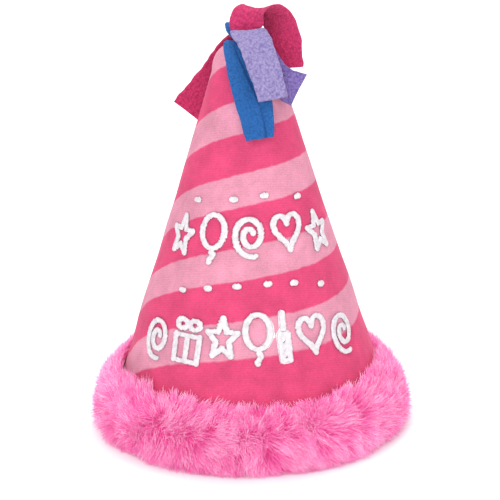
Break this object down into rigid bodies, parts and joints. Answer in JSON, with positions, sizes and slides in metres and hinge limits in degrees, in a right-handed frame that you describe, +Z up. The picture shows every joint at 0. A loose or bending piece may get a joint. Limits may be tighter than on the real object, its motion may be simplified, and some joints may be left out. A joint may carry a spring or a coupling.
{
  "type": "party hat",
  "caption": "Soft cone-shaped party hat in striped velour with a fluffy fur cuff, raised white thread motifs on the front and fleece streamers at the tip.",
  "frame": {"origin": "centre of the hat's round foot, on the surface it stands on", "axes": "+Z up along the cone's axis to the tip, -Y towards the front with the motifs, +X to the right as the front is looked at"},
  "size_m": [0.2238, 0.2238, 0.2978],
  "materials": {
    "velour": "short soft pile, striped in two pinks",
    "pink_thread": "spun polyester thread",
    "foam": "open cell foam",
    "lining": "smooth woven lining",
    "sweatband_cloth": "soft woven cotton tape",
    "felt": "pressed felt",
    "knit_backing": "knitted",
    "filling": "soft polyester wadding",
    "fur": "long soft pile",
    "stabiliser": "non-woven backing",
    "white_thread": "satin-stitched glossy thread",
    "blue_fleece": "pebbled fleece",
    "purple_fleece": "pebbled fleece",
    "pink_fleece": "pebbled fleece"
  },
  "bodies": {
    "hat": {"velour_panel": "velour", "back_seam_thread": "pink_thread", "foam_interlining": "foam", "lining_panel": "lining", "sweatband": "sweatband_cloth", "sweatband_thread": "pink_thread", "brim_facing": "felt", "cuff_backing": "knit_backing", "cuff_filling": "filling", "cuff_thread": "pink_thread", "fur_pile": "fur", "embroidery_stabiliser": "stabiliser", "motif_balloon_lower": "white_thread", "motif_balloon_upper": "white_thread", "motif_candle_lower": "white_thread", "motif_dots": "white_thread", "motif_gift_lower": "white_thread", "motif_heart_lower": "white_thread", "motif_heart_upper": "white_thread", "motif_spiral_lower_left": "white_thread", "motif_spiral_lower_right": "white_thread", "motif_spiral_upper": "white_thread", "motif_star_lower": "white_thread", "motif_star_upper_left": "white_thread", "motif_star_upper_right": "white_thread", "streamer_blue_front_root": "blue_fleece", "streamer_purple_right_root": "purple_fleece", "streamer_purple_front_root": "purple_fleece", "streamer_pink_arch_root": "pink_fleece", "streamer_blue_back_root": "blue_fleece", "streamer_pink_left_root": "pink_fleece", "root_binding": "pink_thread"},
    "streamer_blue_front": {"streamer_blue_front_end": "blue_fleece"},
    "streamer_purple_right": {"streamer_purple_right_end": "purple_fleece"},
    "streamer_purple_front": {"streamer_purple_front_end": "purple_fleece"},
    "streamer_pink_arch": {"streamer_pink_arch_end": "pink_fleece"},
    "streamer_blue_back": {"streamer_blue_back_end": "blue_fleece"},
    "streamer_pink_left": {"streamer_pink_left_end": "pink_fleece"}
  },
  "joints": [
    {"name": "blue_front_lift", "type": "hinge", "parent": "hat", "child": "streamer_blue_front", "pos_m": [-0.006, -0.014, 0.2736], "axis": [-0.9907, -0.1075, 0.0829], "range_deg": [0, 5]},
    {"name": "purple_right_lift", "type": "hinge", "parent": "hat", "child": "streamer_purple_right", "pos_m": [0.0075, -0.0104, 0.2764], "axis": [-0.6674, -0.6478, -0.3673], "range_deg": [0, 5]},
    {"name": "purple_front_lift", "type": "hinge", "parent": "hat", "child": "streamer_purple_front", "pos_m": [0.002, -0.009, 0.281], "axis": [-0.898, -0.4346, -0.0687], "range_deg": [0, 50]},
    {"name": "pink_arch_lift", "type": "hinge", "parent": "hat", "child": "streamer_pink_arch", "pos_m": [0.0075, 0.0065, 0.2925], "axis": [0.4777, -0.8697, -0.1242], "range_deg": [0, 45]},
    {"name": "blue_back_lift", "type": "hinge", "parent": "hat", "child": "streamer_blue_back", "pos_m": [-0.004, 0.0125, 0.2815], "axis": [0.9978, -0.064, -0.0164], "range_deg": [0, 20]},
    {"name": "pink_left_lift", "type": "hinge", "parent": "hat", "child": "streamer_pink_left", "pos_m": [-0.006, 0.0155, 0.272], "axis": [0.8873, 0.4123, -0.2067], "range_deg": [0, 20]}
  ]
}
